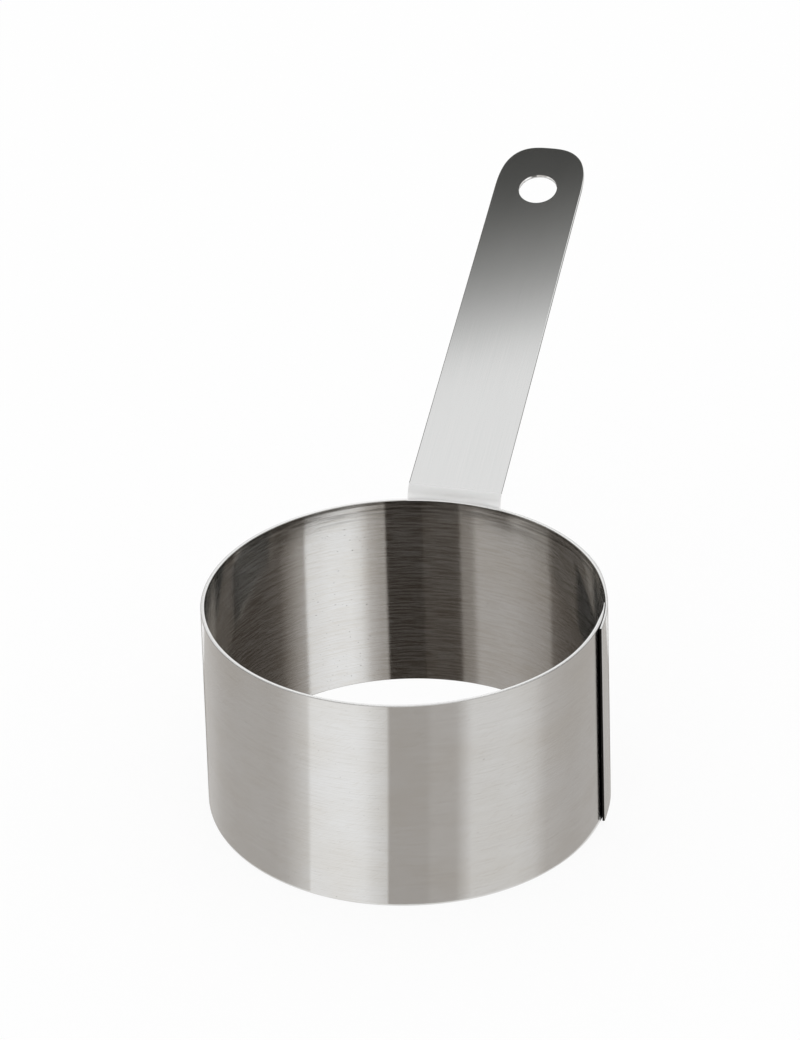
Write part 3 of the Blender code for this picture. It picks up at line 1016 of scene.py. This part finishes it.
def on_table(angle, radius, level=0.0):
    """Point by its angle from the camera's side, its distance from the ring's axis and its level."""
    across = to_right * math.sin(math.radians(angle)) + to_front * math.cos(math.radians(angle))
    return AXIS_PLACE + across * radius + Vector((0, 0, level))


def laid(angle, radius):
    """Point of the table, a hair below the band's foot."""
    return on_table(angle, radius, TABLE_LEVEL)


ROOM_LIGHT = 1.0
PAPER_GLOW, PANE_GLOW = 0.85, 0.96
TABLE_LEVEL = -0.02 * MM
PANE_RADIUS = MEAN_RADIUS + FOOT_FLARE / 2
PANE_ROWS = (0.001 * MM, PANE_RADIUS)
TABLE_ROWS = (PANE_RADIUS, 0.1, 1.0, 6.0)
FULL_CIRCLE = range(0, 361, 3)
bpy.context.scene.world = white_room()
grid_sheet("table", FULL_CIRCLE, TABLE_ROWS, laid, white_paper("white_paper", PAPER_GLOW))
pane = grid_sheet("pane", FULL_CIRCLE, PANE_ROWS, laid, white_paper("white_pane", PANE_GLOW))
pane.visible_glossy = False
bpy.context.scene.view_settings.view_transform = "Standard"
print("table laid, pane of", round(PANE_RADIUS * 2 / MM, 1), "mm")

# %% [markdown]
# ## Gauze for the steel to mirror
#
# Bare metal has no pattern of its own: nearly all that shows on it is its room, and steel in a plain
# white room is plain white. Photographers hang dark cloth just outside the picture, and its mirror
# image draws the shape. Here it is brown gauze. Where it hangs single the steel turns pale grey,
# and where it is folded many times nearly black and warm. Only glossy rays meet it: it adds no
# light, and takes none from the paper.
#
# Its veil is the share of white that it lets through, stored on its points. Inside a ring, steel
# mirrors steel. What two walls have mirrored one after the other meets a second veil, which is
# stored beside the first, and in a third mirror image that veil is thinned out. Light that paper
# has scattered on its way meets none.

# %% Gauze
THIRD_IMAGE = 0.42              # how much of the veil a third mirror image loses


def between(value, stops):
    """Value on the straight lines that join the stops, each a place and a value there."""
    for (low, first), (high, second) in zip(stops, stops[1:]):
        if low <= value <= high:
            return first + (second - first) * (value - low) / max(high - low, 1e-9)
    return stops[0][1] if value < stops[0][0] else stops[-1][1]


def by_column(stops):
    """Share that goes by the columns of a sheet."""
    return lambda column, row: between(column, stops)


def dyed_gauze(name, red, blue):
    """Cloth that lets its veil through, and less of a colour whose power is above 1."""
    finish, tree = new_finish(name)
    ray = add(tree, "ShaderNodeLightPath")
    first, again = attribute(tree, "veil"), attribute(tree, "veil_again")
    veil = first + (again - first) * (ray["Glossy Depth"] > 1.5)
    veil = veil ** (1 - (ray["Glossy Depth"] > 2.5) * THIRD_IMAGE)
    veil = veil + (1 - veil) * (ray["Diffuse Depth"] > 0.5)
    dye = add(tree, "ShaderNodeCombineColor", None,
              {"Red": veil ** red, "Green": veil, "Blue": veil ** blue})["Color"]
    cloth = add(tree, "ShaderNodeBsdfTransparent", None, {"Color": dye})["BSDF"]
    add(tree, "ShaderNodeOutputMaterial", None, {"Surface": cloth})
    return finish


def hang(name, columns, rows, place, gauze, veil=everywhere(1.0), again=None):
    """Sheet of gauze that only glossy rays meet, with its veil and its veil for later mirror images."""
    sheet = grid_sheet(name, columns, rows, place, gauze, veil, again)
    sheet.visible_camera = sheet.visible_diffuse = sheet.visible_transmission = False
    sheet.visible_shadow = sheet.visible_volume_scatter = False


brown_gauze = dyed_gauze("brown_gauze", 0.94, 1.065)
grey_gauze = dyed_gauze("grey_gauze", 1.0, 1.02)
print("gauze ready")

# %% [markdown]
# The band's outside mirrors the table round it. An upright edge on the band needs a line on the table
# that runs away from the band's foot, in the direction in which the camera's view is mirrored
# there. The gauze is therefore laid out backwards: each column starts as an angle round the band,
# and its points are where the mirrored view at several heights meets the table. The columns lean
# a little, as the edges on the real ring do. A second sheet, behind the ring, is the middle of the
# first one turned over, and gives the band's back such tall stripes too.

# %% Gauze round the band's foot
TABLE_VEIL = [
    # angle round the band from the camera's side in degrees, share of white let through
    (-90, 0.60), (-71, 0.57), (-63, 0.50), (-56, 0.475), (-40, 0.475), (-35.8, 0.515), (-32.5, 0.61),
    (-29.3, 0.71), (-28.1, 0.74), (-27.4, 0.96), (-20, 1.0), (-15, 1.0), (-12, 0.96), (-9.3, 0.85),
    (-6.0, 0.74), (-5.3, 0.43), (4.5, 0.43), (6.0, 0.47), (12.5, 0.48), (17, 0.76), (30, 0.76),
    (35.8, 0.69), (38.6, 0.60), (40.6, 0.54), (47, 0.50), (52, 0.49), (66, 0.50), (90, 0.55),
]
LEAN = 0.038 / MM               # degrees for each metre of height
LEAN_LEVEL = HEIGHT * 0.7       # height at which a column stands at its own angle
MIRROR_ROWS = [(height * MM, 0.0) for height in (0.3, 3, 8, 15, 25, 35)]
MIRROR_ROWS += [(HEIGHT, beyond) for beyond in (0.0, 0.1, 2.0)]
BACK_SECTOR = math.radians(50)  # half the sector behind the ring that the first sheet leaves free
GAUZE_LEVEL, EDGE_GAUZE_LEVEL = 0.05 * MM, 0.07 * MM


def mirrored_view(angle, radius, height):
    """Point of an upright wall, counted from the ring's axis, and the camera's view mirrored there."""
    turn = math.radians(angle)
    outward = to_right * math.sin(turn) + to_front * math.cos(turn)
    point = outward * radius + Vector((0, 0, height))
    square = (outward + Vector((0, 0, FOOT_FLARE / HEIGHT))).normalized()
    look = (AXIS_PLACE + point - camera_place).normalized()
    return point, look - 2 * look.dot(square) * square


def mirrored_on_table(angle, row):
    """Where the table shows in the band at an angle and height, and further out along that line."""
    height, beyond = row
    leaning = angle + LEAN * (height - LEAN_LEVEL)
    point, mirrored = mirrored_view(leaning, wall_radius(height), height)
    start = point + mirrored * (point.z / -mirrored.z)
    way = Vector((mirrored.x, mirrored.y, 0)).normalized()
    place = start + way * beyond
    side = abs(place.dot(to_right)) + math.tan(BACK_SECTOR) * place.dot(to_front)
    if side < 0:
        back = abs(way.dot(to_right)) + math.tan(BACK_SECTOR) * way.dot(to_front)
        place -= way * side / back
    return AXIS_PLACE + Vector((place.x, place.y, GAUZE_LEVEL))


def behind(point):
    """The same point of the table on the far side of the ring."""
    away = point - AXIS_PLACE
    return point - to_front * 2 * away.dot(to_front)


def columns_for(stops, low, high, step):
    """Columns at every stop and at even steps between the two ends."""
    count = round((high - low) / step)
    even = [low + (high - low) * index / count for index in range(count + 1)]
    return sorted({*even, *(place for place, _ in stops if low <= place <= high)})


hang("front_gauze", columns_for(TABLE_VEIL, -86, 86, 2), MIRROR_ROWS, mirrored_on_table, brown_gauze,
     by_column(TABLE_VEIL))
hang("back_gauze", columns_for(TABLE_VEIL, -24, 24, 2), MIRROR_ROWS,
     lambda angle, row: behind(mirrored_on_table(angle, row)), brown_gauze, by_column(TABLE_VEIL))
print("gauze laid round the band's foot")

# %% [markdown]
# Against white, steel ends in a thin dark line. On the band's far left and right a narrow wedge of
# gauze on the table draws it. Along the blade a strip does, which the cut wall on the blade's right
# mirrors.

# %% Gauze for the dark outlines
OUTLINE_VEIL = 0.3
WEDGE_START, WEDGE_FRONT, WEDGE_LENGTH = 39.5 * MM, 6 * MM, 100 * MM
WEDGE_WIDTH, WEDGE_SPREAD = 1 * MM, 0.25
STRIP_START, STRIP_RUN, STRIP_HALF = (50 * MM, 70 * MM), (95 * MM, 225 * MM), (14 * MM, -6 * MM)
SIDES = (("left", -1), ("right", 1))


def level_place(right, back):
    """Point just above the table, to the camera's right and to the back of the ring's axis."""
    return AXIS_PLACE + to_right * right - to_front * back + Vector((0, 0, EDGE_GAUZE_LEVEL))


def beside(side):
    """Places in a wedge that opens backwards from the band's left (-1) or right (1) side."""
    return lambda share, back: level_place(
        side * (WEDGE_START + share * (WEDGE_WIDTH + back * WEDGE_SPREAD)), back - WEDGE_FRONT)


def along_blade(side, share):
    """Place in the strip for the blade, which starts beside the ring and leads away behind it."""
    right, back = (start + run * share + half * side
                   for start, run, half in zip(STRIP_START, STRIP_RUN, STRIP_HALF))
    return level_place(right, back)


for side_name, side in SIDES:
    hang(side_name + "_wedge", (0, 1), (0, WEDGE_LENGTH), beside(side), brown_gauze,
         everywhere(OUTLINE_VEIL))
hang("blade_gauze", (-1, 1), (0, 1), along_blade, grey_gauze, everywhere(OUTLINE_VEIL))
print("gauze laid for the outlines of band and blade")

# %% [markdown]
# The band's inside mirrors what shows through the pane. Everything there is far below, so the gauze
# hangs as a bowl whose strips go by bearing alone, and their mirror images stand upright. Its
# second veil is for what one wall mirrors of the other. A low strip of gauze stands just inside
# the wall at the back right. It lets through all that is mirrored once, and darkens the far left
# and right of the inner wall, where the ring mirrors itself.

# %% Gauze below the pane
PANE_VEIL = [
    # bearing from the camera's side in degrees, share of white let through
    (-180, 0.055), (-130, 0.055), (-118, 0.07), (-108, 0.09), (-99, 0.13), (-97.4, 0.28), (-90, 0.32),
    (-82, 0.36), (-68, 0.43), (-46, 0.435), (-42, 0.25), (-35.6, 0.225), (-34.4, 0.07), (-29, 0.06),
    (-14, 0.06), (-11, 0.032), (9.6, 0.032), (10.4, 0.37), (14, 0.40), (20, 0.55), (26, 0.88), (32, 1.0),
    (45, 1.0), (51, 0.95), (60.6, 0.89), (61.4, 0.41), (65, 0.37), (72, 0.225), (80, 0.09), (90, 0.058),
    (110, 0.048), (180, 0.055),
]
SECOND_VEIL = [(-180, 0.09), (-16, 0.10), (-6, 0.38), (42, 0.45), (54, 0.10), (180, 0.09)]
BOWL_RISES = (-89.9, -70, -50, -35, -20, -8, -0.5)
FAR = 20.0
LOW_WALL_ANGLES, LOW_WALL_HEIGHT = range(126, 179, 2), 16 * MM
LOW_WALL_GAP = 0.4 * MM
LOW_WALL_VEIL = 0.17


def far_place(bearing, rise):
    """Point far away by its bearing from the camera's side and its rise above the table."""
    return on_table(bearing, FAR * math.cos(math.radians(rise)), FAR * math.sin(math.radians(rise)))


def before_wall(angle, level):
    """Point a little inside the band's inner wall."""
    return on_table(angle, wall_radius(level) - SHEET - LOW_WALL_GAP, level)


hang("bowl_gauze", columns_for(PANE_VEIL, -180, 180, 2), BOWL_RISES, far_place, brown_gauze,
     by_column(PANE_VEIL), by_column(SECOND_VEIL))
hang("low_wall_gauze", LOW_WALL_ANGLES, (0, LOW_WALL_HEIGHT), before_wall, grey_gauze,
     again=everywhere(LOW_WALL_VEIL))
print("gauze hung below the pane")

# %% [markdown]
# The blade mirrors the room high up behind it, and only a small part of it, because it is flat. A sheet
# of gauze hangs there that thins out towards the camera, so the blade goes from dark at its tip to
# white at its bend. Gauze at the horizon on the left and right darkens the rounded edges, and two
# thin curtains behind the ring take the glare off its rim.

# %% Gauze overhead and at the horizon
OVERHEAD, OVERHEAD_HALF_WIDTH = 10.0, 1.2
OVERHEAD_VEIL = [
    # distance towards the camera's side as a share of the height, share of white let through
    (-1.15, 1.0), (-0.95, 0.20), (-0.60, 0.06), (-0.4045, 0.068), (-0.385, 0.172), (-0.370, 0.30),
    (-0.358, 0.43), (-0.350, 0.575), (-0.342, 0.76), (-0.334, 0.97), (-0.330, 1.0),
]
HORIZON_BEARINGS, HORIZON_RISES = (48, 60, 90, 120, 150, 160), (-0.4, 2, 10, 20)
HORIZON_VEIL = [(2, 0.15), (10, 0.15), (20, 1.0)]
CURTAIN_ASIDES, CURTAIN_RISES = (3.5, 4.3, 10, 25, 32), (10, 17, 42, 50)
CURTAIN_VEIL = 0.7


def overhead_place(front, side):
    """Point of the flat sheet overhead."""
    return AXIS_PLACE + (to_front * front + to_right * side + Vector((0, 0, 1))) * OVERHEAD


def horizon_veil(bearing, rise):
    """Dark along the horizon, and thinned out at the top and at both ends."""
    inner = HORIZON_BEARINGS[0] < abs(bearing) < HORIZON_BEARINGS[-1]
    return between(rise, HORIZON_VEIL) if inner else 1.0


def curtain_veil(bearing, rise):
    """Even inside, and thinned out along all four sides."""
    inner = CURTAIN_ASIDES[0] < abs(bearing - 180) < CURTAIN_ASIDES[-1] and rise in CURTAIN_RISES[1:-1]
    return CURTAIN_VEIL if inner else 1.0


hang("overhead_gauze", [place for place, _ in OVERHEAD_VEIL], (-OVERHEAD_HALF_WIDTH, OVERHEAD_HALF_WIDTH),
     overhead_place, grey_gauze, by_column(OVERHEAD_VEIL))
for side_name, side in SIDES:
    hang(side_name + "_horizon", [side * bearing for bearing in HORIZON_BEARINGS], HORIZON_RISES, far_place,
         brown_gauze, horizon_veil)
    hang(side_name + "_curtain", [180 + side * aside for aside in CURTAIN_ASIDES], CURTAIN_RISES, far_place,
         grey_gauze, curtain_veil)
print("gauze hung overhead and at the horizon")

# %% [markdown]
# ## Put the pieces in place of the CAD solids
#
# Both pieces replace their CAD solids, which are hidden, and join the model's first body.

# %% Replace the CAD solids
for piece, node, slot in ((band, "ring_band", "band_steel"), (handle, "handle", "handle_steel")):
    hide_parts(node)
    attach(piece, list(frame["bodies"])[0])
